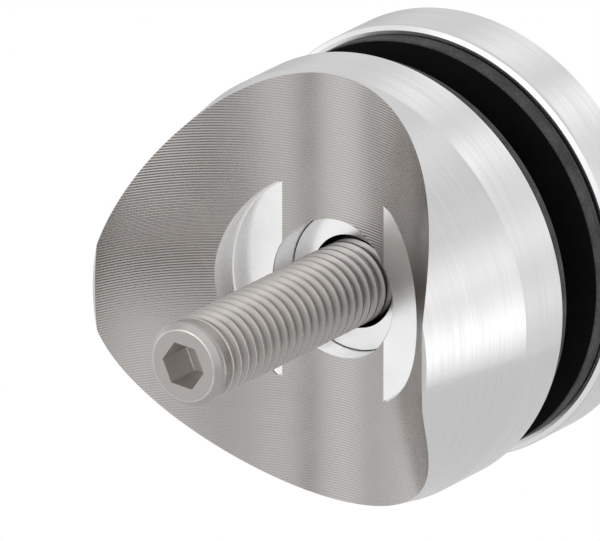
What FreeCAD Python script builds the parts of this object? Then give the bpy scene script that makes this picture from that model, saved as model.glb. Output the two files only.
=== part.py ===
# Glass standoff: a round clamp that holds a glass panel off a round post.
#
# Frame, in millimetres: +Y runs along the clamp's axis from the post to the glass, and +Z up
# along the post. The origin is on the axis, where the stud leaves the bottom of the saddle.
# Each piece is drawn from a face of its own at Y = 0 and then moved along Y to its seat.

import FreeCAD
import Part
import Sketcher

import math
import os

# Driving sizes, in millimetres and degrees.
SIZES = {
    # Post that the saddle sits on, and the room left round it
    "tube_diameter": 48.3,
    "saddle_clearance": 0.2,
    # Outside of the clamp, shared by the body and the cap
    "clamp_diameter": 52.0,
    # Body: turned blank with a straight band by the glass and a cone towards the post
    "body_depth": 23.6,
    "web_thickness": 7.7,
    "band_length": 7.4,
    "taper_angle": 9.5,
    "tip_break_radial": 0.5,
    "tip_break_axial": 0.25,
    "rim_break": 0.15,
    "spot_face_diameter": 28.3,
    "spot_face_rise": 1.06,
    "bore_diameter": 16.7,
    # Gaskets and the glass between them
    "gasket_inset": 1.05,
    "gasket_thickness": 2.25,
    "glass_thickness": 6.1,
    # Sleeve that lines the hole in the glass
    "sleeve_wall": 1.55,
    "sleeve_lead": 0.4,
    # Cap: disc and spigot in one piece, tapped blind to a wall behind the cap's face
    "cap_thickness": 7.8,
    "cap_break_radial": 0.6,
    "cap_break_axial": 0.5,
    "cap_wall": 1.5,
    "spigot_length": 15.45,
    "spigot_break": 0.3,
    "relief_depth": 3.0,
    "drill_point_angle": 118.0,
    # How far the cap can be screwed in for thinner glass
    "closing_travel": 2.0,
    # Stud: set screw with a metric coarse thread, 50 long with these sizes
    "thread_diameter": 10.0,
    "thread_pitch": 1.5,
    "stud_reach": 30.5,
    "stud_break": 0.65,
    "socket_width": 5.0,
    "socket_depth": 4.6,
    "socket_turn": -4.9,
    # Clearances between pieces
    "running_clearance": 0.05,
    "sleeve_clearance": 0.15,
    "gasket_clearance": 0.2,
    "relief_clearance": 0.45,
    "mesh_clearance": 0.4,
    "stud_end_clearance": 0.4,
    "seat_gap": 0.05,
}

# A metric thread's pitch diameter is its major diameter less this share of the pitch.
PITCH_DIAMETER_SHARE = 0.6495

OUTPUT_FOLDER = "parts"


class Size:
    """A size as a formula on the sheet, with its value to place a sketch's first geometry."""

    def __init__(self, formula, value):
        self.formula = formula
        self.value = value

    def _combined(self, sign, other, value):
        if not isinstance(other, Size):
            other = Size(repr(other), other)
        return Size(f"({self.formula} {sign} {other.formula})", value(self.value, other.value))

    def __add__(self, other):
        return self._combined("+", other, lambda one, two: one + two)

    def __sub__(self, other):
        return self._combined("-", other, lambda one, two: one - two)

    def __mul__(self, other):
        return self._combined("*", other, lambda one, two: one * two)

    def __truediv__(self, other):
        return self._combined("/", other, lambda one, two: one / two)

    def __neg__(self):
        return Size(f"(-{self.formula})", -self.value)

    def tangent(self):
        """The tangent of an angle given in degrees."""
        return Size(f"tan({self.formula} * 1 deg)", math.tan(math.radians(self.value)))


ZERO = Size("0", 0.0)


class Sheet:
    """The spreadsheet of driving sizes, one aliased cell for each."""

    def __init__(self, document, sizes):
        self.sheet = document.addObject("Spreadsheet::Sheet", "Sizes")
        for row, (name, value) in enumerate(sizes.items(), start=1):
            self.sheet.set(f"A{row}", name)
            self.sheet.set(f"B{row}", str(value))
            self.sheet.setAlias(f"B{row}", name)
        document.recompute()

    def __getattr__(self, name):
        return Size(f"Sizes.{name}", float(self.sheet.get(name)))


def new_body(document, name):
    """An empty body whose label is the name of the piece."""
    body = document.addObject("PartDesign::Body", name)
    body.Label = name
    return body


def new_sketch(body, name, plane, offset=ZERO):
    """A sketch on one of the body's own origin planes, raised by offset along its normal."""
    sketch = body.newObject("Sketcher::SketchObject", name)
    support = next(item for item in body.Origin.OriginFeatures if item.Role == plane)
    sketch.AttachmentSupport = [(support, "")]
    sketch.MapMode = "FlatFace"
    if offset is not ZERO:
        sketch.setExpression("AttachmentOffset.Base.z", offset.formula)
    return sketch


def constrain(sketch, name, kind, geometry, size):
    """Adds a dimension that follows a formula on the sheet."""
    index = sketch.addConstraint(Sketcher.Constraint(kind, *geometry, size.value))
    sketch.renameConstraint(index, name)
    sketch.setExpression(f"Constraints.{name}", size.formula)


def place_corner(sketch, name, line, direction, size):
    """Fixes the start of a line along X or Y from the origin, or on the axis itself."""
    if size is ZERO:
        axis = -2 if direction == "X" else -1
        sketch.addConstraint(Sketcher.Constraint("PointOnObject", line, 1, axis))
    else:
        constrain(sketch, f"{name}_{direction.lower()}", f"Distance{direction}", (-1, 1, line, 1), size)


def draw_outline(sketch, corners):
    """Closed outline of straight lines through named corners, each an (X, Y) pair of sizes."""
    names = list(corners)
    points = [FreeCAD.Vector(x.value, y.value, 0) for x, y in corners.values()]
    for index, point in enumerate(points):
        following = points[(index + 1) % len(points)]
        sketch.addGeometry(Part.LineSegment(point, following), False)
    for line in range(len(points)):
        following = (line + 1) % len(points)
        sketch.addConstraint(Sketcher.Constraint("Coincident", line, 2, following, 1))
    for line, name in enumerate(names):
        x, y = corners[name]
        before_x, before_y = corners[names[line - 1]]
        if line and x is not ZERO and x.formula == before_x.formula:
            sketch.addConstraint(Sketcher.Constraint("Vertical", line - 1))
        else:
            place_corner(sketch, name, line, "X", x)
        if line and y is not ZERO and y.formula == before_y.formula:
            sketch.addConstraint(Sketcher.Constraint("Horizontal", line - 1))
        else:
            place_corner(sketch, name, line, "Y", y)


def draw_circle(sketch, name, radius, centre_y=ZERO):
    """Circle on the sketch's vertical axis."""
    centre = FreeCAD.Vector(0, centre_y.value, 0)
    circle = sketch.addGeometry(Part.Circle(centre, FreeCAD.Vector(0, 0, 1), radius.value), False)
    constrain(sketch, f"{name}_radius", "Radius", (circle,), radius)
    if centre_y is ZERO:
        sketch.addConstraint(Sketcher.Constraint("Coincident", circle, 3, -1, 1))
    else:
        sketch.addConstraint(Sketcher.Constraint("PointOnObject", circle, 3, -2))
        constrain(sketch, f"{name}_centre", "DistanceY", (-1, 1, circle, 3), centre_y)


def draw_hexagon(sketch, width, turn):
    """Regular hexagon about the origin, by its width across flats and its first corner's angle."""
    corner_radius = width / math.sqrt(3)
    corners = []
    for step in range(6):
        angle = math.radians(turn.value + 60 * step)
        reach = corner_radius.value
        corners.append(FreeCAD.Vector(reach * math.cos(angle), reach * math.sin(angle), 0))
    for step in range(6):
        sketch.addGeometry(Part.LineSegment(corners[step], corners[(step + 1) % 6]), False)
    origin = FreeCAD.Vector(0, 0, 0)
    circle = sketch.addGeometry(Part.Circle(origin, FreeCAD.Vector(0, 0, 1), reach), True)
    spoke = sketch.addGeometry(Part.LineSegment(origin, corners[0]), True)
    for line in range(6):
        sketch.addConstraint(Sketcher.Constraint("Coincident", line, 2, (line + 1) % 6, 1))
        sketch.addConstraint(Sketcher.Constraint("PointOnObject", line, 1, circle))
    for line in range(1, 6):
        sketch.addConstraint(Sketcher.Constraint("Equal", 0, line))
    sketch.addConstraint(Sketcher.Constraint("Coincident", circle, 3, -1, 1))
    sketch.addConstraint(Sketcher.Constraint("Coincident", spoke, 1, -1, 1))
    sketch.addConstraint(Sketcher.Constraint("Coincident", spoke, 2, 0, 1))
    constrain(sketch, "corner_radius", "Radius", (circle,), corner_radius)
    index = sketch.addConstraint(
        Sketcher.Constraint("Angle", -1, 1, spoke, 1, math.radians(turn.value))
    )
    sketch.renameConstraint(index, "corner_angle")
    sketch.setExpression("Constraints.corner_angle", f"{turn.formula} * 1 deg")


def revolve(body, name, corners):
    """Turned solid: an outline in the XY plane taken round the Y axis."""
    sketch = new_sketch(body, f"{name}_profile", "XY_Plane")
    draw_outline(sketch, corners)
    turned = body.newObject("PartDesign::Revolution", name)
    turned.Profile = sketch
    turned.ReferenceAxis = (sketch, ["V_Axis"])
    turned.Angle = 360
    return turned


def pad_ring(body, name, outer, inner, thickness):
    """Flat ring on the XZ plane, as thick as given towards +Y."""
    sketch = new_sketch(body, f"{name}_outline", "XZ_Plane")
    draw_circle(sketch, "outer", outer)
    draw_circle(sketch, "inner", inner)
    pad = body.newObject("PartDesign::Pad", name)
    pad.Profile = sketch
    pad.setExpression("Length", thickness.formula)
    pad.Reversed = True
    return pad


def seat(body, distance):
    """Moves a piece along Y to its seat."""
    body.setExpression("Placement.Base.y", distance.formula)


def saddle_radius(size):
    """Radius of the saddle cut: the post with its clearance."""
    return size.tube_diameter / 2 + size.saddle_clearance


def cap_seat(size):
    """Y of the cap's inner face: web, two gaskets, the glass and a seating gap."""
    return size.web_thickness + size.gasket_thickness * 2 + size.glass_thickness + size.seat_gap


def pitch_radius(size):
    """Radius at which the stud's thread and the cap's thread mesh."""
    return (size.thread_diameter - size.thread_pitch * PITCH_DIAMETER_SHARE) / 2


def spigot_radius(size):
    """The cap's spigot runs in the body's bore."""
    return size.bore_diameter / 2 - size.running_clearance


def sleeve_bore_radius(size):
    """The sleeve is loose round the spigot."""
    return spigot_radius(size) + size.sleeve_clearance


def sleeve_radius(size):
    """Outside of the sleeve, which the gaskets' holes clear."""
    return sleeve_bore_radius(size) + size.sleeve_wall


def tapped_end(size):
    """End of the full thread in the cap, from the cap's inner face, ahead of the drill point."""
    thread = pitch_radius(size) + size.running_clearance
    drill_point = thread / (size.drill_point_angle / 2).tangent()
    return size.cap_thickness - size.cap_wall - drill_point


def stud_inner_end(size):
    """Y of the stud's held end, which clears the tapped hole with the cap screwed right in."""
    return cap_seat(size) + tapped_end(size) - size.closing_travel - size.stud_end_clearance


def build_saddle_body(document, size):
    """Turned blank, with the saddle milled across it, a spot face and a bore."""
    body = new_body(document, "saddle_body")
    radius = size.clamp_diameter / 2
    glass_face = size.web_thickness
    tip = size.web_thickness - size.body_depth
    band_end = size.web_thickness - size.band_length
    cone_end = tip + size.tip_break_axial
    cone_radius = radius - (band_end - cone_end) * size.taper_angle.tangent()
    revolve(body, "turned_blank", {
        "glass_centre": (ZERO, glass_face),
        "glass_rim": (radius - size.rim_break, glass_face),
        "band_start": (radius, glass_face - size.rim_break),
        "band_end": (radius, band_end),
        "cone_end": (cone_radius, cone_end),
        "tip": (cone_radius - size.tip_break_radial, tip),
        "tip_centre": (ZERO, tip),
    })

    across = new_sketch(body, "tube_saddle_outline", "XY_Plane")
    draw_circle(across, "saddle", saddle_radius(size), -saddle_radius(size))
    saddle = body.newObject("PartDesign::Pocket", "tube_saddle")
    saddle.Profile = across
    saddle.Type = "ThroughAll"
    saddle.Midplane = True

    floor = new_sketch(body, "spot_face_outline", "XZ_Plane", size.spot_face_rise)
    draw_circle(floor, "spot_face", size.spot_face_diameter / 2)
    spot_face = body.newObject("PartDesign::Pocket", "spot_face")
    spot_face.Profile = floor
    spot_face.Type = "ThroughAll"
    spot_face.Reversed = True

    hole = new_sketch(body, "bore_outline", "XZ_Plane")
    draw_circle(hole, "bore", size.bore_diameter / 2)
    bore = body.newObject("PartDesign::Pocket", "bore")
    bore.Profile = hole
    bore.Type = "ThroughAll"
    bore.Midplane = True
    return body


def build_gasket(document, size, name, distance):
    """Flat rubber ring. Both are alike, with a hole that the sleeve passes through."""
    body = new_body(document, name)
    outer_radius = size.clamp_diameter / 2 - size.gasket_inset
    hole_radius = sleeve_radius(size) + size.gasket_clearance
    pad_ring(body, f"{name}_ring", outer_radius, hole_radius, size.gasket_thickness)
    seat(body, distance)
    return body


def build_sleeve(document, size):
    """Plastic sleeve round the spigot, which keeps the glass off the metal."""
    body = new_body(document, "glass_sleeve")
    outer = sleeve_radius(size)
    inner = sleeve_bore_radius(size)
    free_end = size.seat_gap - size.glass_thickness - size.gasket_thickness
    revolve(body, "sleeve_wall", {
        "inner_lead": (inner, free_end),
        "outer_lead": (outer - size.sleeve_lead, free_end),
        "outer_start": (outer, free_end + size.sleeve_lead),
        "outer_end": (outer, ZERO),
        "inner_end": (inner, ZERO),
    })
    seat(body, cap_seat(size) - size.seat_gap)
    return body


def build_cap(document, size):
    """Disc with a spigot, turned in one piece and tapped blind from the spigot's end."""
    body = new_body(document, "clamp_cap")
    radius = size.clamp_diameter / 2
    spigot = spigot_radius(size)
    spigot_end = -size.spigot_length
    relief = size.thread_diameter / 2 + size.relief_clearance
    relief_end = size.relief_depth - size.spigot_length
    thread = pitch_radius(size) + size.running_clearance
    revolve(body, "turned_cap", {
        "face_centre": (ZERO, size.cap_thickness),
        "face_rim": (radius - size.cap_break_radial, size.cap_thickness),
        "edge_end": (radius, size.cap_thickness - size.cap_break_axial),
        "edge_start": (radius, size.cap_break_axial),
        "inner_rim": (radius - size.cap_break_radial, ZERO),
        "spigot_root": (spigot, ZERO),
        "spigot_edge": (spigot, spigot_end + size.spigot_break),
        "spigot_face": (spigot - size.spigot_break, spigot_end),
        "relief_mouth": (relief, spigot_end),
        "relief_root": (relief, relief_end),
        "thread_mouth": (thread, relief_end),
        "thread_end": (thread, tapped_end(size)),
        "drill_point": (ZERO, size.cap_thickness - size.cap_wall),
    })
    seat(body, cap_seat(size))
    return body


def build_stud(document, size):
    """Set screw: free end at major diameter, held end at the pitch diameter of the mesh."""
    body = new_body(document, "stud_screw")
    major = size.thread_diameter / 2
    pitch = pitch_radius(size)
    mesh_start = cap_seat(size) - size.spigot_length - size.mesh_clearance
    inner_end = stud_inner_end(size)
    revolve(body, "stud_shank", {
        "socket_face": (ZERO, -size.stud_reach),
        "socket_rim": (major - size.stud_break, -size.stud_reach),
        "free_start": (major, size.stud_break - size.stud_reach),
        "free_end": (major, mesh_start),
        "held_start": (pitch, mesh_start),
        "held_end": (pitch, inner_end - size.stud_break),
        "inner_rim": (pitch - size.stud_break, inner_end),
        "inner_centre": (ZERO, inner_end),
    })

    mouth = new_sketch(body, "hex_socket_outline", "XZ_Plane", size.stud_reach)
    draw_hexagon(mouth, size.socket_width, size.socket_turn)
    socket = body.newObject("PartDesign::Pocket", "hex_socket")
    socket.Profile = mouth
    socket.setExpression("Length", size.socket_depth.formula)
    return body


def check(document, bodies):
    """Stops with a message if any feature failed or a piece isn't one valid solid."""
    failed = [item.Label for item in document.Objects if {"Invalid", "Error"} & set(item.State)]
    if failed:
        raise RuntimeError(f"features failed: {', '.join(failed)}")
    for body in bodies:
        shape = body.Shape
        if shape.isNull() or not shape.isValid() or len(shape.Solids) != 1:
            raise RuntimeError(f"{body.Label} is not one valid solid")


def check_cuts(bodies):
    """Stops if a pocket took nothing away."""
    for body in bodies:
        solids = [item for item in body.Group if not item.isDerivedFrom("Sketcher::SketchObject")]
        for before, after in zip(solids, solids[1:]):
            if after.Shape.Volume >= before.Shape.Volume:
                raise RuntimeError(f"{after.Label} removes no material")


def main():
    document = FreeCAD.newDocument("GlassStandoff")
    size = Sheet(document, SIZES)
    front_seat = size.web_thickness + size.gasket_thickness + size.glass_thickness
    bodies = [
        build_saddle_body(document, size),
        build_stud(document, size),
        build_gasket(document, size, "rear_gasket", size.web_thickness),
        build_gasket(document, size, "front_gasket", front_seat),
        build_sleeve(document, size),
        build_cap(document, size),
    ]
    document.recompute()
    check(document, bodies)
    check_cuts(bodies)
    os.makedirs(OUTPUT_FOLDER, exist_ok=True)
    for body in bodies:
        body.Shape.exportStep(os.path.join(OUTPUT_FOLDER, f"{body.Label}.step"))
        box = body.Shape.BoundBox
        print(f"{body.Label}: {body.Shape.Volume:.1f} mm3, Y {box.YMin:.2f} to {box.YMax:.2f}")


main()
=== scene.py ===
"""Looks of a glass standoff: a round stainless clamp that holds a glass panel off a round post.

Sizes are written in millimetres, and every mesh is in metres. The clamp's axis is Y, from the
post to the glass, and Z runs up along the post.
"""

import logging
import math
from dataclasses import dataclass
from enum import Enum
from typing import Optional, Sequence, Union

import bpy
import numpy as np
from mathutils import Matrix, Vector


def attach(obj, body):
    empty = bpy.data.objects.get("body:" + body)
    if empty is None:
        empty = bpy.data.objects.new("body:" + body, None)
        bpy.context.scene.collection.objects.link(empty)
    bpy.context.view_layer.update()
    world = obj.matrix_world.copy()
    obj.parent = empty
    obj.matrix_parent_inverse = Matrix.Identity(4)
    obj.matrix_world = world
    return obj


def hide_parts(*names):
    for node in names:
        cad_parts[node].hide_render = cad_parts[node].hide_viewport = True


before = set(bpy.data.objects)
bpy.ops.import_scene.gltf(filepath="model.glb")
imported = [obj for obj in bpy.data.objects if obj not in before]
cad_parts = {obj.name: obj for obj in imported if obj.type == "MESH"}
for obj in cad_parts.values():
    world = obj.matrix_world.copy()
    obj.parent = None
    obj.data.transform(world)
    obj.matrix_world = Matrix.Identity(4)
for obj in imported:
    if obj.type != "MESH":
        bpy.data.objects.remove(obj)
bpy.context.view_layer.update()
log = logging.getLogger("glass_standoff")

MM = 0.001
WELD = 1e-6  # vertices nearer than this, in metres, become one
POINT = 1e-4  # the smallest radius that a blank is drawn in to
CLEAR_OF_POST = -30.0  # cutters start here along Y, past the body's tips
ON_PLANE = 1e-7  # vertices this near to a cutting plane, in metres, lie on it
HAIR, NEAR = 0.01, 0.05  # how far a face may lie from a surface that it belongs to
SLANT = 0.5  # a face whose normal has this much of a direction turns that way
FACING = 0.95  # one with this much looks that way
SQUARE = 0.9999  # and one with this much lies square to it
ACROSS = (math.pi / 2, 0, 0)  # turns a primitive's axis from Z to the clamp's
NOISE_SPAN = {"From Min": 0.3, "From Max": 0.7}  # nearly all of a noise lies between these

Station = tuple[float, float]
Direction = tuple[float, float, float]
Pattern = bpy.types.NodeSocket
Settings = Optional[dict[Union[str, int], object]]


class Operation(Enum):
    """How one solid changes another."""

    CUT = "DIFFERENCE"
    JOIN = "UNION"
    KEEP_COMMON = "INTERSECT"


def linear(colour: str) -> tuple[float, float, float, float]:
    """Turns an sRGB hex colour to linear values.

    Args:
        colour: The colour, such as "#b4b0ac".

    Returns:
        Red, green, blue and an alpha of 1.
    """
    parts = [int(colour[i : i + 2], 16) / 255 for i in (1, 3, 5)]
    red, green, blue = (c / 12.92 if c <= 0.04045 else ((c + 0.055) / 1.055) ** 2.4 for c in parts)
    return red, green, blue, 1.0


def per_mark(*sizes: float) -> tuple[float, ...]:
    """Turns the sizes of marks, in millimetres, to the scales that draw them in metres."""
    return tuple(1 / (size * MM) for size in sizes)


def add_node(
    tree: bpy.types.NodeTree, kind: str, settings: Settings = None, inputs: Settings = None
) -> bpy.types.Node:
    """Adds a node with its options and inputs.

    Args:
        tree: The node tree that gets the node.
        kind: The node's type.
        settings: Option names and their values.
        inputs: Input names or numbers, and the value or the socket that feeds each.

    Returns:
        The new node.
    """
    node = tree.nodes.new(kind)
    for name, value in (settings or {}).items():
        setattr(node, name, value)
    for name, value in (inputs or {}).items():
        if isinstance(value, bpy.types.NodeSocket):
            tree.links.new(value, node.inputs[name])
        else:
            node.inputs[name].default_value = value
    return node


def start_material(name: str) -> tuple[bpy.types.Material, bpy.types.NodeTree, Pattern]:
    """Starts a material.

    Args:
        name: The material's name.

    Returns:
        The material, its node tree, and the socket of Object coordinates.
    """
    material = bpy.data.materials.new(name)
    material.use_nodes = True
    tree = material.node_tree
    tree.nodes.clear()
    return material, tree, add_node(tree, "ShaderNodeTexCoord").outputs["Object"]


def end_material(
    tree: bpy.types.NodeTree,
    colour: tuple[Pattern, str, str],
    shader_inputs: dict[str, object],
    roughness: Optional[tuple[Pattern, float, float]] = None,
    relief: Optional[tuple[Pattern, float, float]] = None,
) -> None:
    """Adds the shader that ends a material.

    Args:
        tree: The material's node tree.
        colour: A pattern, and the hex colours at 0 and at 1.
        shader_inputs: The shader's other inputs, and the value or the socket that feeds each.
        roughness: A noise, and the roughness at the low and the high end of its span.
        relief: A pattern, its height in millimetres and its strength.
    """
    inputs = dict(shader_inputs)
    pattern, dark, light = colour
    colours = {0: pattern, 6: linear(dark), 7: linear(light)}
    mix = add_node(tree, "ShaderNodeMix", {"data_type": "RGBA"}, colours)
    inputs["Base Color"] = mix.outputs[2]
    if roughness:
        pattern, low, high = roughness
        span = {"Value": pattern, **NOISE_SPAN, "To Min": low, "To Max": high}
        inputs["Roughness"] = add_node(tree, "ShaderNodeMapRange", {}, span).outputs["Result"]
    if relief:
        pattern, height, strength = relief
        bump = {"Height": pattern, "Distance": height * MM, "Strength": strength}
        inputs["Normal"] = add_node(tree, "ShaderNodeBump", {}, bump).outputs["Normal"]
    shader = add_node(tree, "ShaderNodeBsdfPrincipled", {}, inputs)
    add_node(tree, "ShaderNodeOutputMaterial", {}, {"Surface": shader.outputs["BSDF"]})


def put_down() -> None:
    """Leaves edit mode and deselects every object."""
    if bpy.context.object and bpy.context.object.mode != "OBJECT":
        bpy.ops.object.mode_set(mode="OBJECT")
    bpy.ops.object.select_all(action="DESELECT")


def take(piece: bpy.types.Object) -> None:
    """Selects one object alone and makes it the active one.

    Args:
        piece: The object.
    """
    put_down()
    piece.select_set(True)
    bpy.context.view_layer.objects.active = piece


def open_up(piece: bpy.types.Object, kind: str = "VERT", pick: str = "SELECT") -> None:
    """Goes into edit mode on one object.

    Args:
        piece: The mesh object.
        kind: What is picked by, VERT, EDGE or FACE.
        pick: SELECT to start with all selected, DESELECT with nothing.
    """
    take(piece)
    bpy.ops.object.mode_set(mode="EDIT")
    bpy.ops.mesh.select_mode(type=kind)
    bpy.ops.mesh.select_all(action=pick)


def settle(piece: bpy.types.Object, name: str) -> None:
    """Names a piece and puts its place, turn and scale into its mesh.

    Args:
        piece: The mesh object.
        name: Its name.
    """
    take(piece)
    piece.name = name
    piece.data.name = name
    bpy.ops.object.transform_apply(location=True, rotation=True, scale=True)


def round_off(corner: Station, edge: Station, middle: float = 0.3) -> list[Station]:
    """Rounds a corner of a profile with three stations.

    Args:
        corner: The sharp corner, as (place along Y, radius).
        edge: How far the round reaches from it along Y and in radius. The signs give the sides.
        middle: Where the middle station lies, as a share of that. 0.5 is a flat chamfer.

    Returns:
        The stations, from the one at the corner's place along Y to the one at its radius.
    """
    along, radius = corner
    to_along, to_radius = edge
    return [
        (along, radius + to_radius),
        (along + to_along * middle, radius + to_radius * middle),
        (along + to_along, radius),
    ]


def turn(
    name: str, profile: Sequence[Station], edges: int, hollow: bool = False
) -> bpy.types.Object:
    """Turns a blank about the Y axis, as on a lathe.

    A circle is drawn at the first station and pulled from station to station.

    Args:
        name: The blank's name.
        profile: Stations as (place along Y, radius). A last radius of 0 is a point.
        edges: Edges in each circle.
        hollow: True where the profile closes on itself round a hole.

    Returns:
        The blank.
    """
    put_down()
    along, radius = profile[0]
    bpy.ops.mesh.primitive_circle_add(
        vertices=edges,
        radius=radius * MM,
        fill_type="NOTHING" if hollow else "NGON",
        location=(0, along * MM, 0),
        rotation=ACROSS,
    )
    blank = bpy.context.object
    settle(blank, name)
    open_up(blank)
    for new_along, new_radius in [*profile[1:], profile[0]] if hollow else profile[1:]:
        step = {"value": (0, (new_along - along) * MM, 0)}
        bpy.ops.mesh.extrude_region_move(TRANSFORM_OT_translate=step)
        if new_radius != radius:
            scale = max(new_radius, POINT) / radius
            centre = (0, new_along * MM, 0)
            bpy.ops.transform.resize(value=(scale, 1, scale), center_override=centre)
        along, radius = new_along, max(new_radius, POINT)
    if profile[-1][1] == 0:
        bpy.ops.mesh.merge(type="CENTER")
    bpy.ops.mesh.select_all(action="SELECT")
    bpy.ops.mesh.remove_doubles(threshold=WELD)
    bpy.ops.mesh.normals_make_consistent(inside=False)
    put_down()
    return blank


def combine(piece: bpy.types.Object, tool: bpy.types.Object, operation: Operation) -> None:
    """Cuts, joins or trims a piece with a tool, which is used up.

    Args:
        piece: The solid that changes.
        tool: The solid that changes it.
        operation: What the tool does.
    """
    take(piece)
    change = piece.modifiers.new("change", "BOOLEAN")
    change.operation = operation.value
    change.solver = "MANIFOLD"
    change.object = tool
    bpy.ops.object.modifier_apply(modifier=change.name)
    bpy.data.objects.remove(tool)
    piece.data.materials.clear()


def face_table(piece: bpy.types.Object) -> tuple[np.ndarray, np.ndarray, np.ndarray]:
    """Reads where a mesh's faces are.

    Args:
        piece: The mesh object.

    Returns:
        The faces' centres and their distances from the axis, in millimetres, and their normals.
    """
    values = np.empty((2, len(piece.data.polygons) * 3))
    for row, name in zip(values, ("center", "normal")):
        piece.data.polygons.foreach_get(name, row)
    centres, normals = values[0].reshape(-1, 3) / MM, values[1].reshape(-1, 3)
    return centres, np.hypot(centres[:, 0], centres[:, 2]), normals


def smooth(piece: bpy.types.Object, degrees: float) -> None:
    """Shades a piece smooth, apart from sharper edges and from flats that lie square to the axis.

    Args:
        piece: The mesh object.
        degrees: The angle above which an edge stays sharp.
    """
    take(piece)
    bpy.ops.object.shade_smooth_by_angle(angle=math.radians(degrees))
    normals = face_table(piece)[2]
    piece.data.polygons.foreach_set("use_smooth", np.abs(normals[:, 1]) < SQUARE)
    piece.data.update()


def on_board(piece: bpy.types.Object, node: str, body: str) -> None:
    """Puts a finished piece on its body in place of a CAD node, and reports it.

    Args:
        piece: The finished piece.
        node: The CAD node that it stands for.
        body: The body that it moves with.
    """
    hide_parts(node)
    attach(piece, body)
    log.info("%s: %d faces, stands for %s", piece.name, len(piece.data.polygons), node)


@dataclass(frozen=True)
class BrushedStainless:
    """AISI 304 stainless, turned and then brushed with the work spinning.

    The grit leaves fine lines round the axis. They keep reflections crisp round the clamp and
    smear them along it, and give the steel its satin look. Where the grit is worn, a band round
    the clamp comes out duller or brighter than the next.
    """

    name: str = "stainless_brushed_round_the_axis"
    dark: str = "#d3d3d3"
    light: str = "#e6e6e6"
    roughness: float = 0.2
    wear: tuple[float, float] = (0.62, 1.38)  # shares of it in the brightest and dullest band
    anisotropy: float = 0.75
    line: float = 0.09  # grit lines are about 0.03 wide, drawn as coarse as they need to show
    line_length: float = 14.0
    line_depth: float = 0.0006
    band: float = 0.45

    def material(self) -> bpy.types.Material:
        """Builds the material.

        Returns:
            The material.
        """
        material, tree, place = start_material(self.name)
        patterns = []
        for width, detail in ((self.line, 3.0), (self.band, 2.0)):
            scale = per_mark(self.line_length, width, self.line_length)
            stretched = add_node(
                tree, "ShaderNodeVectorMath", {"operation": "MULTIPLY"}, {0: place, 1: scale}
            )
            noise = {"Vector": stretched.outputs[0], "Scale": 1.0, "Detail": detail}
            noise["Roughness"] = 0.6
            patterns.append(add_node(tree, "ShaderNodeTexNoise", {}, noise).outputs["Fac"])
        lines, bands = patterns
        round_axis = add_node(tree, "ShaderNodeTangent", {"direction_type": "RADIAL", "axis": "Y"})
        end_material(
            tree,
            (lines, self.dark, self.light),
            {
                "Metallic": 1.0,
                "Anisotropic": self.anisotropy,
                "Anisotropic Rotation": 0.25,
                "Tangent": round_axis.outputs["Tangent"],
            },
            (bands, self.roughness * self.wear[0], self.roughness * self.wear[1]),
            (lines, self.line_depth, 1.0),
        )
        return material


@dataclass(frozen=True)
class MachinedStainless:
    """AISI 304 stainless as the cutter leaves it, warm grey where rough and bright where smooth.

    A fine grain of tool marks varies its colour and gloss.
    """

    name: str
    dark: str
    light: str
    roughness: float
    grain: tuple[float, float, float]  # size of the tool marks along X, Y and Z
    grain_depth: float = 0.0
    wear: tuple[float, float] = (0.88, 1.15)  # shares of roughness, smoothest and roughest mark

    def material(self) -> bpy.types.Material:
        """Builds the material.

        Returns:
            The material.
        """
        material, tree, place = start_material(self.name)
        scale = per_mark(*self.grain)
        stretched = add_node(
            tree, "ShaderNodeVectorMath", {"operation": "MULTIPLY"}, {0: place, 1: scale}
        )
        noise = {"Vector": stretched.outputs[0], "Scale": 1.0, "Detail": 2.0, "Roughness": 0.55}
        marks = add_node(tree, "ShaderNodeTexNoise", {}, noise).outputs["Fac"]
        end_material(
            tree,
            (marks, self.dark, self.light),
            {"Metallic": 1.0},
            (marks, self.roughness * self.wear[0], self.roughness * self.wear[1]),
            (marks, self.grain_depth, 1.0) if self.grain_depth else None,
        )
        return material


@dataclass(frozen=True)
class MouldedPolymer:
    """Black EPDM rubber or nylon: dull, with a fine even grain and faint flow patches.

    A side painted paler stands in for light on the ring's lit walls, and its patches are smaller.
    """

    name: str
    dark: str
    light: str
    roughness: float
    wear: tuple[float, float] = (0.9, 1.1)  # shares of it in the smoothest and roughest patch
    gloss: float = 0.2
    grain: float = 0.16
    grain_depth: float = 0.012
    grain_strength: float = 0.6
    patch: float = 5.0
    blotches: tuple[float, float] = (0.12, 0.42)  # span of grain and patches multiplied

    def material(self) -> bpy.types.Material:
        """Builds the material.

        Returns:
            The material.
        """
        material, tree, place = start_material(self.name)
        patterns = []
        for size, detail, roughness in ((self.grain, 2.0, 0.5), (self.patch, 4.0, 0.6)):
            noise = {"Vector": place, "Scale": per_mark(size)[0], "Detail": detail}
            noise["Roughness"] = roughness
            patterns.append(add_node(tree, "ShaderNodeTexNoise", {}, noise).outputs["Fac"])
        grain, patches = patterns
        both = add_node(tree, "ShaderNodeMath", {"operation": "MULTIPLY"}, {0: grain, 1: patches})
        low, high = self.blotches
        span = {"Value": both.outputs[0], "From Min": low, "From Max": high}
        spread = add_node(tree, "ShaderNodeMapRange", {}, span)
        end_material(
            tree,
            (spread.outputs["Result"], self.dark, self.light),
            {"IOR": 1.5, "Specular IOR Level": self.gloss},
            (patches, self.roughness * self.wear[0], self.roughness * self.wear[1]),
            (grain, self.grain_depth, self.grain_strength),
        )
        return material


Finish = Union[BrushedStainless, MachinedStainless, MouldedPolymer]

BRUSHED = BrushedStainless()
# Milled in fine passes: smooth and warm grey between its ribs, with no grain to be seen.
MILLED = MachinedStainless("stainless_milled_saddle", "#bab6b3", "#c4c0bd", 0.2, (6.0, 6.0, 6.0))
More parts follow.
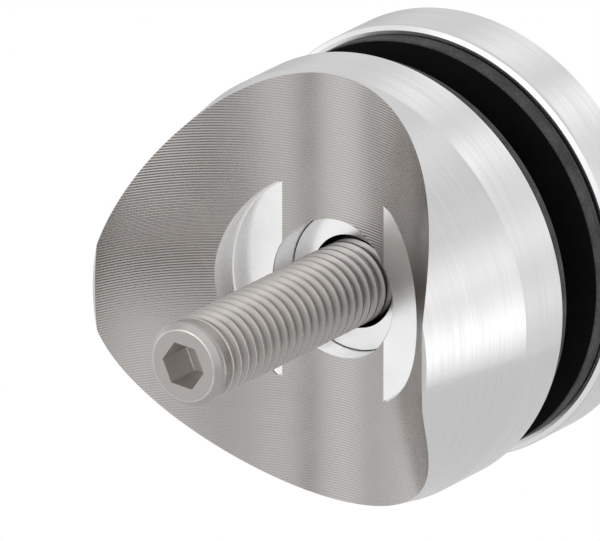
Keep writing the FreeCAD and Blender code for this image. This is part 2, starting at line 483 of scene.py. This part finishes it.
# Faced with a wide sharp cutter: nearly white, with a soft clear shine.
FACED = MachinedStainless("stainless_spot_faced", "#f3f3f3", "#f7f7f7", 0.26, (5.0, 5.0, 5.0))
# Bored: the tool's feed leaves rings round the wall that take the light in turn.
BORED = MachinedStainless(
    "stainless_bored_wall", "#cfccc9", "#ffffff", 0.26, (9.0, 0.16, 9.0), 0.002
)
# Rolled between dies: a dull warm grey, with a faint fine grain.
ROLLED = MachinedStainless(
    "stainless_rolled_thread", "#aeaaa7", "#bab6b3", 0.36, (0.25, 0.25, 0.25), 0.002
)
# Burnished where the crests rub in the post, and painted paler as the crests' highlight lines;
# also smoother.
BURNISHED_AND_HIGHLIGHT = MachinedStainless(
    "stainless_burnished_crest_painted_highlight", "#c9c6c2", "#d3d0cc", 0.2, (5.0, 5.0, 5.0)
)
# Rubbed edge, painted pale: a painted highlight line round the end, on an edge that handling rubs.
RUBBED_RIM_PAINTED_HIGHLIGHT = MachinedStainless("stainless_rubbed_edge_painted_highlight", "#cfccc9", "#d8d5d2", 0.16, (5.0, 5.0, 5.0))
# Socket painted pale: painted light that stands in for light reaching into the hole; matt, with a
# coarse grain.
PUNCHED_PAINTED_LIGHT = MachinedStainless(
    "stainless_socket_painted_light", "#cfcbc8", "#dbd7d4", 0.5, (0.12, 0.12, 0.12), 0.006
)
# Tapped hole, painted near black: painted shade for the dark depth of the hole, so that it reads
# as black.
TAPPED_PAINTED_SHADE = MachinedStainless(
    "stainless_tapped_painted_shade", "#161514", "#1e1c1b", 0.6, (0.5, 0.5, 0.5), 0.002
)
# Moulded rubber: a black skin with hardly any shine.
SEAL_FACE = MouldedPolymer("rubber_epdm_moulded", "#0c0c0c", "#131313", 0.75, gloss=0.1)
# Rubber sides painted dark grey: painted light on the lit walls, mottled, with smaller patches.
SEAL_SIDE_PAINTED_LIGHT = MouldedPolymer(
    "rubber_epdm_side_painted_light", "#303030", "#585858", 0.7, grain=0.2, patch=3.0
)
# Moulded nylon: black, with a soft shine.
SLEEVE_NYLON = MouldedPolymer(
    "nylon_black_moulded", "#121212", "#1e1e1e", 0.42, grain=0.3, grain_depth=0.006
)


def dress(piece: bpy.types.Object, finishes: Sequence[Finish], index: np.ndarray) -> None:
    """Gives a piece its finishes.

    Args:
        piece: The mesh object.
        finishes: The finishes that it has.
        index: Which of them each face has, from 0.
    """
    for finish in finishes:
        piece.data.materials.append(finish.material())
    piece.data.polygons.foreach_set("material_index", index.astype(np.int32))
    piece.data.update()


@dataclass
class SaddleBody:
    """The turned body, with the saddle that sits on the post, its spot face and its bore."""

    rim_radius: float = 26.0
    glass_face: float = 7.7
    rim_break: float = 0.15
    rim_round: float = 0.35  # where the middle of the broken rim lies, as a share
    taper_start: float = 0.3
    taper_end: float = -15.65
    taper_radius: float = 23.33
    tip: float = -15.9
    tip_radius: float = 22.83
    saddle_radius: float = 24.35
    saddle_slant: float = 0.7  # how much a face of the saddle looks at the post's axis
    drum_reach: float = 0.9  # how far past the tips the saddle's cutter reaches
    rib_pitch: float = 0.327
    rib_height: float = 0.037
    rib_steps: tuple[float, ...] = (0.5, 1.0, 0.5, 0.0)  # a rib's height at each quarter
    rib_count: int = 164
    spot_radius: float = 14.15
    spot_floor: float = -1.06
    spot_fillet: float = 0.3
    bore_radius: float = 8.35
    bore_break: float = 0.07
    bore_reach: float = 1.3  # how far past the glass face the bore's cutter reaches
    sharp_above: float = 28.0  # degrees
    outer_edges: int = 320
    saddle_edges: int = 200
    spot_edges: int = 200
    bore_edges: int = 160

    def turned_blank(self) -> bpy.types.Object:
        """Turns the outside: the band, the long taper and the broken edges.

        Returns:
            The solid blank.
        """
        rim = (-self.rim_break, -self.rim_break)
        profile = [
            *round_off((self.glass_face, self.rim_radius), rim, self.rim_round),
            (self.taper_start, self.rim_radius),
            (self.taper_end, self.taper_radius),
            (self.tip, self.tip_radius),
        ]
        return turn("saddle_body_steel", profile, self.outer_edges)

    def ribbed_cutter(self) -> bpy.types.Object:
        """Makes the tool that leaves the saddle.

        It is a drum as wide as the post, with a fine rib for each pass of the mill.

        Returns:
            The drum, without the half that is clear of the body.
        """
        put_down()
        axis = -self.saddle_radius * MM
        low = radius = self.saddle_radius - self.rib_height / 2
        start = -self.rib_pitch * self.rib_count / 2
        bpy.ops.mesh.primitive_circle_add(
            vertices=self.saddle_edges, radius=low * MM, location=(0, axis, start * MM)
        )
        drum = bpy.context.object
        settle(drum, "saddle_cutter")
        open_up(drum)
        quarter = self.rib_pitch / len(self.rib_steps)
        for number, share in enumerate(self.rib_steps, 1):
            step = {"value": (0, 0, quarter * MM)}
            bpy.ops.mesh.extrude_region_move(TRANSFORM_OT_translate=step)
            scale = (low + self.rib_height * share) / radius
            centre = (0, axis, (start + quarter * number) * MM)
            bpy.ops.transform.resize(value=(scale, scale, 1), center_override=centre)
            radius *= scale
        bpy.ops.object.mode_set(mode="OBJECT")
        repeat = drum.modifiers.new("ribs", "ARRAY")
        repeat.count = self.rib_count
        repeat.use_relative_offset = False
        repeat.use_constant_offset = True
        repeat.constant_offset_displace = (0, 0, self.rib_pitch * MM)
        repeat.use_merge_vertices = True
        repeat.merge_threshold = WELD
        bpy.ops.object.modifier_apply(modifier=repeat.name)
        open_up(drum, pick="DESELECT")
        bpy.ops.mesh.select_non_manifold(extend=False)
        bpy.ops.mesh.edge_face_add()
        bpy.ops.mesh.select_all(action="SELECT")
        bpy.ops.mesh.bisect(
            plane_co=(0, (self.tip - self.drum_reach) * MM, 0),
            plane_no=(0, 1, 0),
            use_fill=True,
            clear_inner=True,
            threshold=ON_PLANE,
        )
        bpy.ops.mesh.select_all(action="SELECT")
        bpy.ops.mesh.normals_make_consistent(inside=False)
        put_down()
        return drum

    def spot_face_cutter(self) -> bpy.types.Object:
        """Turns the counterbore's form, with the small fillet at its foot.

        Returns:
            The cutter.
        """
        fillet = (-self.spot_fillet, -self.spot_fillet)
        foot = round_off((self.spot_floor, self.spot_radius), fillet)
        profile = [(CLEAR_OF_POST, self.spot_radius), *reversed(foot)]
        return turn("spot_face_cutter", profile, self.spot_edges)

    def bore_cutter(self) -> bpy.types.Object:
        """Turns the bore's form, with the broken edge at its mouth.

        Returns:
            The cutter.
        """
        mouth = self.bore_radius + self.bore_break
        profile = [
            (CLEAR_OF_POST, mouth),
            (self.spot_floor, mouth),
            (self.spot_floor + self.bore_break, self.bore_radius),
            (self.glass_face + self.bore_reach, self.bore_radius),
        ]
        return turn("bore_cutter", profile, self.bore_edges)

    def finish_by_place(self, body: bpy.types.Object) -> None:
        """Gives each machined surface its own finish, by where it is.

        Args:
            body: The finished mesh.
        """
        centres, from_axis, normals = face_table(body)
        across, along = centres[:, 0], centres[:, 1]
        from_post = np.hypot(across, along + self.saddle_radius)
        outwards = normals[:, 0] * across + normals[:, 1] * (along + self.saddle_radius)
        faces_post = outwards / from_post < -self.saddle_slant
        saddle = (np.abs(from_post - self.saddle_radius) < NEAR) & faces_post
        spot = (from_axis < self.spot_radius + HAIR) & (along < self.spot_floor + NEAR)
        bore = from_axis < self.bore_radius + HAIR
        wall = spot & (from_axis > self.spot_radius - HAIR)
        # The bore's broken mouth gets the darker milled steel, painting the thin shade line at the
        # seam.
        mouth = spot & (from_axis < self.bore_radius + self.bore_break)
        mouth &= np.abs(normals[:, 1]) < FACING
        index = np.where(spot | bore, 2, 0)
        index = np.where(saddle | mouth, 1, np.where(wall, 3, index))
        dress(body, (BRUSHED, MILLED, FACED, BORED), index)

    def keep_taper_crisp(self, body: bpy.types.Object) -> None:
        """Marks the ring where the taper starts as a sharp edge.

        Args:
            body: The finished mesh.
        """
        open_up(body, "EDGE", "DESELECT")
        bpy.ops.object.mode_set(mode="OBJECT")
        on_ring = [
            abs(v.co.y / MM - self.taper_start) < HAIR
            and math.hypot(v.co.x, v.co.z) / MM > self.rim_radius - NEAR
            for v in body.data.vertices
        ]
        for edge in body.data.edges:
            edge.select = all(on_ring[number] for number in edge.vertices)
        bpy.ops.object.mode_set(mode="EDIT")
        bpy.ops.mesh.mark_sharp()
        put_down()

    def build(self) -> None:
        """Builds the body and puts it in place."""
        body = self.turned_blank()
        for cutter in (self.ribbed_cutter, self.spot_face_cutter, self.bore_cutter):
            combine(body, cutter(), Operation.CUT)
        self.finish_by_place(body)
        smooth(body, self.sharp_above)
        self.keep_taper_crisp(body)
        on_board(body, "saddle_body", "mounted")


@dataclass
class Stud:
    """The M10 x 1.5 set screw, with its rolled thread and hex socket."""

    radius: float = 5.0
    root_radius: float = 4.08
    pitch: float = 1.5
    # Half a thread, as (from the crest's middle, below the crest) and then (the same, above root)
    crest: tuple[Station, ...] = ((0.0, 0.0), (0.09, 0.0), (0.14, 0.02), (0.19, 0.09))
    root: tuple[Station, ...] = ((0.5, 0.23), (0.59, 0.08), (0.68, 0.01), (0.75, 0.0))
    tip: float = -30.5
    tip_radius: float = 4.35
    tip_break: float = 0.65
    rim: float = 0.19  # the end face's edge is rubbed round, and painted bright as a highlight line
    rim_stations: tuple[Station, ...] = ((0.0, 1.0), (0.12, 0.5), (0.5, 0.0))  # shares of rim
    # The plain lead, as (past the end's chamfer, below the crests)
    lead: tuple[Station, ...] = ((-1.15, 0.01), (0.8, 0.01), (2.35, 0.14), (4.75, 1.02))
    bright_from: float = 2.2  # how far from the tip the crests begin to be burnished and painted with highlight lines
    inner_end: float = 19.51
    inner_break: float = 0.6
    clear: float = 0.4  # how far over the crests the trimming form stands
    socket_width: float = 5.0
    socket_depth: float = 4.6
    socket_turn: float = -4.9  # degrees
    socket_bevel: float = 0.1
    punch_reach: float = 2.0  # how far the punch stands out of the end
    sharp_above: float = 38.0  # degrees
    steps: int = 96

    def thread_profile(self) -> list[Station]:
        """Gives one pitch of the thread, from one crest to the next, with its edges rolled round.

        Returns:
            Stations as (place along the pitch, radius).
        """
        half = [(along, self.radius - below) for along, below in self.crest]
        half += [(along, self.root_radius + above) for along, above in self.root]
        return half + [(self.pitch - along, radius) for along, radius in reversed(half[:-1])]

    def threaded_bar(self) -> bpy.types.Object:
        """Draws one pitch of thread and winds it into a bar that is longer than the screw.

        Returns:
            The bar, closed at both ends.
        """
        put_down()
        start = self.tip - 2 * self.pitch
        turns = math.ceil((self.inner_end - start) / self.pitch) + 2
        bpy.ops.mesh.primitive_plane_add(size=MM, location=(self.radius * MM, start * MM, 0))
        bar = bpy.context.object
        settle(bar, "stud_thread")
        open_up(bar)
        bpy.ops.mesh.merge(type="CENTER")
        profile = self.thread_profile()
        for (along, radius), (new_along, new_radius) in zip(profile, profile[1:]):
            step = {"value": ((new_radius - radius) * MM, (new_along - along) * MM, 0)}
            bpy.ops.mesh.extrude_region_move(TRANSFORM_OT_translate=step)
        bpy.ops.object.mode_set(mode="OBJECT")
        wind = bar.modifiers.new("wind", "SCREW")
        wind.axis = "Y"
        wind.angle = 2 * math.pi
        wind.screw_offset = self.pitch * MM
        wind.iterations = turns
        wind.steps = wind.render_steps = self.steps
        wind.use_merge_vertices = True
        wind.merge_threshold = WELD
        bpy.ops.object.modifier_apply(modifier=wind.name)
        open_up(bar)
        bpy.ops.mesh.remove_doubles(threshold=WELD)
        for end in (-1, 1):
            self.close_end(bar, end)
        bpy.ops.mesh.select_all(action="SELECT")
        bpy.ops.mesh.normals_make_consistent(inside=False)
        put_down()
        return bar

    def close_end(self, bar: bpy.types.Object, end: int) -> None:
        """Draws one open end of the wound thread in to a point on the axis.

        Args:
            bar: The wound thread.
            end: -1 for the end towards the post, 1 for the other.
        """
        middle = (self.tip + self.inner_end) / 2 * MM
        open_up(bar, "EDGE", "DESELECT")
        bpy.ops.mesh.select_non_manifold(extend=False)
        bpy.ops.object.mode_set(mode="OBJECT")
        for edge in bar.data.edges:
            if edge.select and (bar.data.vertices[edge.vertices[0]].co.y - middle) * end < 0:
                edge.select = False
        bpy.ops.object.mode_set(mode="EDIT")
        step = {"value": (0, end * self.pitch * MM, 0)}
        bpy.ops.mesh.extrude_region_move(TRANSFORM_OT_translate=step)
        bpy.ops.mesh.merge(type="CENTER")

    def lead_in(self) -> bpy.types.Object:
        """Turns the plain lead that fills the thread's first grooves, so that they fade in.

        Returns:
            The solid lead.
        """
        start = self.tip + self.tip_break
        profile = [(start + along, self.radius - below) for along, below in self.lead]
        return turn("stud_lead", profile, self.steps)

    def envelope(self) -> bpy.types.Object:
        """Turns a form that stands clear of the crests and trims both ends to their chamfers.

        Returns:
            The solid form.
        """
        slope = self.tip_break / (self.radius - self.tip_radius)
        profile = [
            (self.tip + self.rim * along, self.tip_radius - self.rim * inwards)
            for along, inwards in self.rim_stations
        ]
        profile += [
            (self.tip + self.tip_break + self.clear * slope, self.radius + self.clear),
            (self.inner_end - self.inner_break, self.radius + self.clear),
            (self.inner_end, self.root_radius),
        ]
        return turn("stud_envelope", profile, self.steps * 2)

    def socket_punch(self) -> bpy.types.Object:
        """Makes the hexagonal punch that forms the socket, with a bevel round its foot.

        Returns:
            The punch.
        """
        put_down()
        depth = self.socket_depth + self.punch_reach
        middle = self.tip + self.socket_depth - depth / 2
        bpy.ops.mesh.primitive_cylinder_add(
            vertices=6,
            radius=self.socket_width / math.sqrt(3) * MM,
            depth=depth * MM,
            location=(0, middle * MM, 0),
            rotation=ACROSS,
        )
        punch = bpy.context.object
        settle(punch, "socket_punch")
        corners = [math.atan2(v.co.z, v.co.x) % (math.pi / 3) for v in punch.data.vertices]
        short_of = math.radians(self.socket_turn) - min(corners)
        punch.matrix_world = Matrix.Rotation(-short_of, 4, "Y")
        settle(punch, "socket_punch")
        open_up(punch, "FACE", "DESELECT")
        bpy.ops.object.mode_set(mode="OBJECT")
        for face in punch.data.polygons:
            face.select = face.normal.y > FACING
        bpy.ops.object.mode_set(mode="EDIT")
        bpy.ops.mesh.bevel(offset=self.socket_bevel * MM, segments=1, affect="EDGES")
        put_down()
        return punch

    def finish_by_place(self, screw: bpy.types.Object) -> None:
        """Gives the socket and the rubbed edges their own finish, by where they are. The socket's
        pale steel is painted light, and the paler crests, socket foot and rim are painted
        highlight lines.

        Args:
            screw: The finished mesh.
        """
        centres, from_axis, normals = face_table(screw)
        from_tip, facing = centres[:, 1] - self.tip, normals[:, 1]
        # Crests get the paler steel: burnished, and painted highlight lines.
        crest = (from_axis > self.radius - NEAR) & (np.abs(facing) < SLANT)
        crest &= from_tip > self.bright_from
        # The rubbed rim's pale steel paints a highlight line round the end.
        rim = (from_tip < self.rim * self.rim_stations[-1][0]) & (facing > -SQUARE)
        rim &= from_axis > self.tip_radius - self.rim
        # The socket's pale steel is painted light in the hole.
        socket = (from_tip > HAIR) & (from_tip < self.socket_depth + HAIR)
        socket &= from_axis < self.socket_width / math.sqrt(3)
        # The socket's foot bevel gets the pale crest steel as a painted highlight line.
        foot = socket & (facing < -SLANT) & (facing > -FACING)
        index = np.where(socket, 2, 0)
        index = np.where(crest | foot, 1, np.where(rim, 3, index))
        dress(screw, (ROLLED, BURNISHED_AND_HIGHLIGHT, PUNCHED_PAINTED_LIGHT, RUBBED_RIM_PAINTED_HIGHLIGHT), index)

    def build(self) -> None:
        """Builds the screw and puts it in place."""
        screw = self.threaded_bar()
        combine(screw, self.lead_in(), Operation.JOIN)
        combine(screw, self.envelope(), Operation.KEEP_COMMON)
        combine(screw, self.socket_punch(), Operation.CUT)
        settle(screw, "stud_screw_steel")
        self.finish_by_place(screw)
        smooth(screw, self.sharp_above)
        on_board(screw, "stud_screw", "mounted")


@dataclass
class Seal:
    """A ring that keeps the glass off the steel. Its sizes are a gasket's where none are given."""

    name: str
    node: str
    body: str
    slot: str
    start: float  # along Y
    end: float
    outer_radius: float = 24.95
    inner_radius: float = 10.2
    edge: float = 0.15
    finish: MouldedPolymer = SEAL_FACE
    side_finish: MouldedPolymer = SEAL_SIDE_PAINTED_LIGHT
    groove: Optional[float] = None  # where a fine groove runs round the outside
    groove_section: tuple[Station, ...] = ((-0.07, 0.0), (0.0, 0.08), (0.07, 0.0))
    painted_shade_strip: float = 0.0  # how much of the side next to the far end stays black, as painted shade in the crease there
    sharp_above: float = 50.0  # degrees
    edges: int = 224

    def profile(self) -> list[Station]:
        """Gives the ring's section, with its edges rounded and its groove.

        Returns:
            Stations as (place along Y, radius), round the section.
        """
        start, end, edge = self.start, self.end, self.edge
        side = []
        if self.groove:
            for across, depth in self.groove_section:
                side.append((self.groove + across, self.outer_radius - depth))
        if self.painted_shade_strip:
            side.append((end - self.painted_shade_strip, self.outer_radius))
        return [
            *reversed(round_off((start, self.inner_radius), (edge, edge))),
            *round_off((start, self.outer_radius), (edge, -edge)),
            *side,
            *reversed(round_off((end, self.outer_radius), (-edge, -edge))),
            *round_off((end, self.inner_radius), (-edge, edge)),
        ]

    def build(self) -> None:
        """Builds the ring and puts it in place."""
        ring = turn(self.name, self.profile(), self.edges, hollow=True)
        centres, _, normals = face_table(ring)
        # Side walls get the paler rubber, as painted light; a strip next to the far end stays
        # black as painted shade.
        side = (np.abs(normals[:, 1]) < FACING) & (centres[:, 1] < self.end - self.painted_shade_strip)
        dress(ring, (self.finish, self.side_finish), side)
        smooth(ring, self.sharp_above)
        on_board(ring, self.node, self.body)


@dataclass
class ClampCap:
    """The disc that presses on the glass, turned in one with its tapped spigot."""

    rim_radius: float = 26.0
    glass_face: float = 18.35
    outer_face: float = 26.15
    outer_chamfer: Station = (0.5, 0.6)  # in from the face, and in from the rim
    glass_chamfers: tuple[Station, ...] = ((0.7, 0.0), (0.4, 0.12), (0.0, 0.6))  # the same way
    spigot_radius: float = 8.3
    spigot_end: float = 2.9
    spigot_break: float = 0.08
    relief_radius: float = 5.6
    relief_depth: float = 3.0
    tapped_radius: float = 5.08  # at the root of the thread, so that the stud's crests clear it
    tapped_end: float = 21.91
    drill_point: float = 24.65
    sharp_above: float = 15.0  # degrees
    edges: int = 320

    def profile(self) -> list[Station]:
        """Gives the turned section, from the outer face round to the drill's point.

        Returns:
            Stations as (place along Y, radius).
        """
        in_from_face, in_from_rim = self.outer_chamfer
        relief_end = self.spigot_end + self.relief_depth
        return [
            (self.outer_face, self.rim_radius - in_from_rim),
            (self.outer_face - in_from_face, self.rim_radius),
            *((self.glass_face + a, self.rim_radius - b) for a, b in self.glass_chamfers),
            (self.glass_face, self.spigot_radius),
            (self.spigot_end + self.spigot_break, self.spigot_radius),
            (self.spigot_end, self.spigot_radius - self.spigot_break),
            (self.spigot_end, self.relief_radius),
            (relief_end, self.relief_radius),
            (relief_end, self.tapped_radius),
            (self.tapped_end, self.tapped_radius),
            (self.drill_point, 0.0),
        ]

    def build(self) -> None:
        """Builds the cap and puts it in place."""
        cap = turn("clamp_cap_steel", self.profile(), self.edges)
        centres, from_axis, normals = face_table(cap)
        chamfer = from_axis > self.rim_radius - self.glass_chamfers[-1][1]
        chamfer &= normals[:, 1] < -SLANT
        inside = centres[:, 1] < self.outer_face - NEAR
        spigot = inside & (from_axis < self.spigot_radius + HAIR)
        hole = inside & (from_axis < self.relief_radius + HAIR)
        # The tapped hole gets near-black steel: painted shade where the hole is deep and dark.
        index = np.where(hole, 2, np.where(chamfer | spigot, 1, 0))
        dress(cap, (BRUSHED, FACED, TAPPED_PAINTED_SHADE), index)
        smooth(cap, self.sharp_above)
        on_board(cap, "clamp_cap", "cap")


REAR_GASKET = Seal(
    "rear_gasket_rubber", "rear_gasket", "mounted", "rear_rubber", start=7.70, end=9.95, groove=8.3
)
FRONT_GASKET = Seal(
    "front_gasket_rubber",
    "front_gasket",
    "front_seal",
    "front_rubber",
    start=16.05,
    end=18.30,
    groove=17.65,
    painted_shade_strip=0.25,
)
GLASS_SLEEVE = Seal(
    "glass_sleeve_nylon",
    "glass_sleeve",
    "front_seal",
    "sleeve_plastic",
    start=10.0,
    end=18.30,
    outer_radius=10.0,
    inner_radius=8.45,
    edge=0.3,
    finish=SLEEVE_NYLON,
    side_finish=SLEEVE_NYLON,
)


@dataclass(frozen=True)
class Hoop:
    """How a ring of studio panels lies round the clamp."""

    zero: Direction  # the way to the panel at 0 degrees
    quarter: Direction  # and to the panel at 90 degrees
    start: float  # how far towards the glass a direction points where the ring starts to show
    full: float  # and where it shows alone


class Ring(Enum):
    """The rings of studio panels. The first shows all over, and each of the next takes over."""

    FRONT = Hoop((0.0, -1.0, 0.0), (1.0, 0.0, 0.0), -2.0, -1.5)
    SIDE = Hoop((1.0, 0.0, 0.0), (0.0, 0.0, 1.0), 0.0, 0.35)
    BACK = Hoop((1.0, 0.0, 0.0), (0.0, 0.0, 1.0), 0.62, 0.71)


@dataclass(frozen=True)
class Panel:
    """A soft white panel of the studio, or a grey flag where its level is below 0."""

    ring: Ring
    centre: float  # degrees round its ring
    reach: float  # degrees from the centre to where it has faded out
    level: float


@dataclass(frozen=True)
class Overhead:
    """A round soft light in one direction from the clamp."""

    towards: Direction
    reach: float  # degrees from its middle to where it has faded out
    level: float


@dataclass
class Studio:
    """White studio with soft panels, a pale floor well below the clamp, and the camera."""

    plain_level: float = 0.82
    panels: tuple[Panel, ...] = (
        Panel(Ring.FRONT, -37, 20, 0.24),
        Panel(Ring.FRONT, -16, 11, -0.38),
        Panel(Ring.FRONT, 3, 14, 0.05),
        Panel(Ring.FRONT, 40, 42, -0.27),
        Panel(Ring.FRONT, -57, 10, -0.12),
        Panel(Ring.SIDE, -17, 22, 0.72),
        Panel(Ring.SIDE, 10, 23, 0.36),
        Panel(Ring.SIDE, 48, 12, -0.05),
        Panel(Ring.SIDE, 74, 18, 0.12),
        Panel(Ring.BACK, -17, 23, 0.13),
        Panel(Ring.BACK, 13, 22, 0.24),
        Panel(Ring.BACK, 44, 39, 0.17),
        Panel(Ring.BACK, 65, 23, 0.35),
        Panel(Ring.BACK, 108, 31, 0.31),
        Panel(Ring.BACK, -163, 33, -0.24),
        Panel(Ring.BACK, -136, 15, 0.79),
    )
    overheads: tuple[Overhead, ...] = (
        Overhead((-0.08, -0.83, 0.55), 46, 0.58),
        Overhead((0.75, -0.5, 0.4), 50, 0.66),
        Overhead((-0.26, -0.82, 0.51), 9, 3.0),
        Overhead((-0.98, 0.0, 0.05), 26, 0.35),
    )
    floor_drop: float = 150.0
    floor_radius: float = 290.0
    floor_edges: int = 96
    paper: tuple[str, str] = ("#e1e1e1", "#e7e7e7")
    paper_roughness: float = 0.9
    fibre: float = 2.5  # paper fibres clump at about this size
    camera_azimuth: float = 35.2856
    camera_elevation: float = 20.673
    camera_aim: tuple[float, float] = (-4.357, 2.053)  # to the right of and above the origin
    camera_distance: float = 2898.3
    camera_clip: tuple[float, float] = (100.0, 10000.0)
    lens: float = 1520.0

    def fade(
        self,
        tree: bpy.types.NodeTree,
        heading: bpy.types.NodeSocket,
        towards: Vector,
        light: Union[Panel, Overhead],
    ) -> bpy.types.NodeSocket:
        """Gives a light's level, full in its middle and gone where its reach ends.

        Args:
            tree: The world's node tree.
            heading: The direction that light comes from.
            towards: The direction of the light's middle.
            light: The light.

        Returns:
            The socket of the level.
        """
        facing = add_node(
            tree, "ShaderNodeVectorMath", {"operation": "DOT_PRODUCT"}, {0: heading, 1: towards}
        )
        turned = add_node(
            tree, "ShaderNodeMath", {"operation": "ARCCOSINE"}, {0: facing.outputs["Value"]}
        )
        span = {"Value": turned.outputs[0], "From Min": math.radians(light.reach)}
        span |= {"From Max": 0.0, "To Min": 0.0, "To Max": light.level}
        level = add_node(tree, "ShaderNodeMapRange", {"interpolation_type": "SMOOTHSTEP"}, span)
        return level.outputs["Result"]

    def ring_level(
        self, tree: bpy.types.NodeTree, heading: bpy.types.NodeSocket, ring: Ring
    ) -> bpy.types.NodeSocket:
        """Adds up the panels of one ring.

        Args:
            tree: The world's node tree.
            heading: The direction that light comes from.
            ring: The ring.

        Returns:
            The socket of the ring's level in that direction.
        """
        zero, quarter = Vector(ring.value.zero), Vector(ring.value.quarter)
        in_plane = tuple(abs(a) + abs(b) for a, b in zip(zero, quarter))
        flat = add_node(
            tree, "ShaderNodeVectorMath", {"operation": "MULTIPLY"}, {0: heading, 1: in_plane}
        )
        unit = add_node(
            tree, "ShaderNodeVectorMath", {"operation": "NORMALIZE"}, {0: flat.outputs[0]}
        )
        total: Union[float, bpy.types.NodeSocket] = self.plain_level
        for panel in (p for p in self.panels if p.ring is ring):
            angle = math.radians(panel.centre)
            towards = zero * math.cos(angle) + quarter * math.sin(angle)
            share = self.fade(tree, unit.outputs[0], towards, panel)
            total = add_node(
                tree, "ShaderNodeMath", {"operation": "ADD"}, {0: total, 1: share}
            ).outputs[0]
        return total

    def wall_level(
        self, tree: bpy.types.NodeTree, heading: bpy.types.NodeSocket
    ) -> bpy.types.NodeSocket:
        """Gives the level of the studio's walls, with all their panels and lights.

        Args:
            tree: The world's node tree.
            heading: The direction that light comes from.

        Returns:
            The socket of the level.
        """
        depth = add_node(tree, "ShaderNodeSeparateXYZ", {}, {0: heading}).outputs["Y"]
        level: Union[float, bpy.types.NodeSocket] = self.plain_level
        for ring in Ring:
            span = {"Value": depth, "From Min": ring.value.start, "From Max": ring.value.full}
            share = add_node(
                tree, "ShaderNodeMapRange", {"interpolation_type": "SMOOTHSTEP"}, span
            ).outputs["Result"]
            levels = {0: share, 2: level, 3: self.ring_level(tree, heading, ring)}
            level = add_node(tree, "ShaderNodeMix", {"data_type": "FLOAT"}, levels).outputs[0]
        for light in self.overheads:
            share = self.fade(tree, heading, Vector(light.towards).normalized(), light)
            level = add_node(
                tree, "ShaderNodeMath", {"operation": "ADD"}, {0: level, 1: share}
            ).outputs[0]
        return level

    def light(self) -> None:
        """Lights the studio from its walls, which the camera sees as plain white."""
        world = bpy.data.worlds.new("white_studio")
        bpy.context.scene.world = world
        world.use_nodes = True
        tree = world.node_tree
        tree.nodes.clear()
        heading = add_node(tree, "ShaderNodeTexCoord").outputs["Generated"]
        level = self.wall_level(tree, heading)
        walls = add_node(tree, "ShaderNodeBackground", {}, {"Color": level, "Strength": 1.0})
        white = add_node(
            tree, "ShaderNodeBackground", {}, {"Color": (1, 1, 1, 1), "Strength": 1.0}
        )
        seen = add_node(tree, "ShaderNodeLightPath").outputs["Is Camera Ray"]
        shown = {0: seen, 1: walls.outputs[0], 2: white.outputs[0]}
        mix = add_node(tree, "ShaderNodeMixShader", {}, shown)
        add_node(tree, "ShaderNodeOutputWorld", {}, {"Surface": mix.outputs[0]})
        bpy.context.scene.view_settings.view_transform = "Standard"
        log.info("studio lit with %d panels", len(self.panels))

    def lay_floor(self) -> None:
        """Lays the pale floor, a disc of matt studio paper."""
        put_down()
        bpy.ops.mesh.primitive_circle_add(
            vertices=self.floor_edges, radius=self.floor_radius * MM, fill_type="NGON"
        )
        floor = bpy.context.object
        floor.location.z = -self.floor_drop * MM
        settle(floor, "studio_floor")
        material, tree, place = start_material("studio_paper_matt")
        noise = {"Vector": place, "Scale": per_mark(self.fibre)[0], "Detail": 3.0}
        fibre = add_node(tree, "ShaderNodeTexNoise", {}, noise).outputs["Fac"]
        end_material(tree, (fibre, *self.paper), {"Roughness": self.paper_roughness})
        floor.data.materials.append(material)
        log.info("floor laid %g mm below the axis", self.floor_drop)

    def set_camera(self) -> None:
        """Sets up the camera with a long lens."""
        azimuth = math.radians(self.camera_azimuth)
        elevation = math.radians(self.camera_elevation)
        tilt = math.sin(elevation)
        right = Vector((math.cos(azimuth), math.sin(azimuth), 0))
        up = Vector((-math.sin(azimuth) * tilt, math.cos(azimuth) * tilt, math.cos(elevation)))
        back = right.cross(up)
        aim = (right * self.camera_aim[0] + up * self.camera_aim[1]) * MM
        put_down()
        bpy.ops.object.camera_add(location=aim + back * self.camera_distance * MM)
        camera = bpy.context.object
        camera.name = "camera"
        camera.rotation_euler = Matrix((right, up, back)).transposed().to_euler()
        camera.data.lens = self.lens
        near, far = self.camera_clip
        camera.data.clip_start, camera.data.clip_end = near * MM, far * MM
        bpy.context.scene.camera = camera
        log.info("camera set %g mm away", self.camera_distance)


def main() -> None:
    """Builds each piece, then the studio round them."""
    logging.basicConfig(level=logging.INFO, format="%(name)s: %(message)s")
    for piece in (SaddleBody(), Stud(), REAR_GASKET, FRONT_GASKET, GLASS_SLEEVE, ClampCap()):
        piece.build()
    studio = Studio()
    studio.light()
    studio.lay_floor()
    studio.set_camera()


if __name__ == "__main__":
    main()
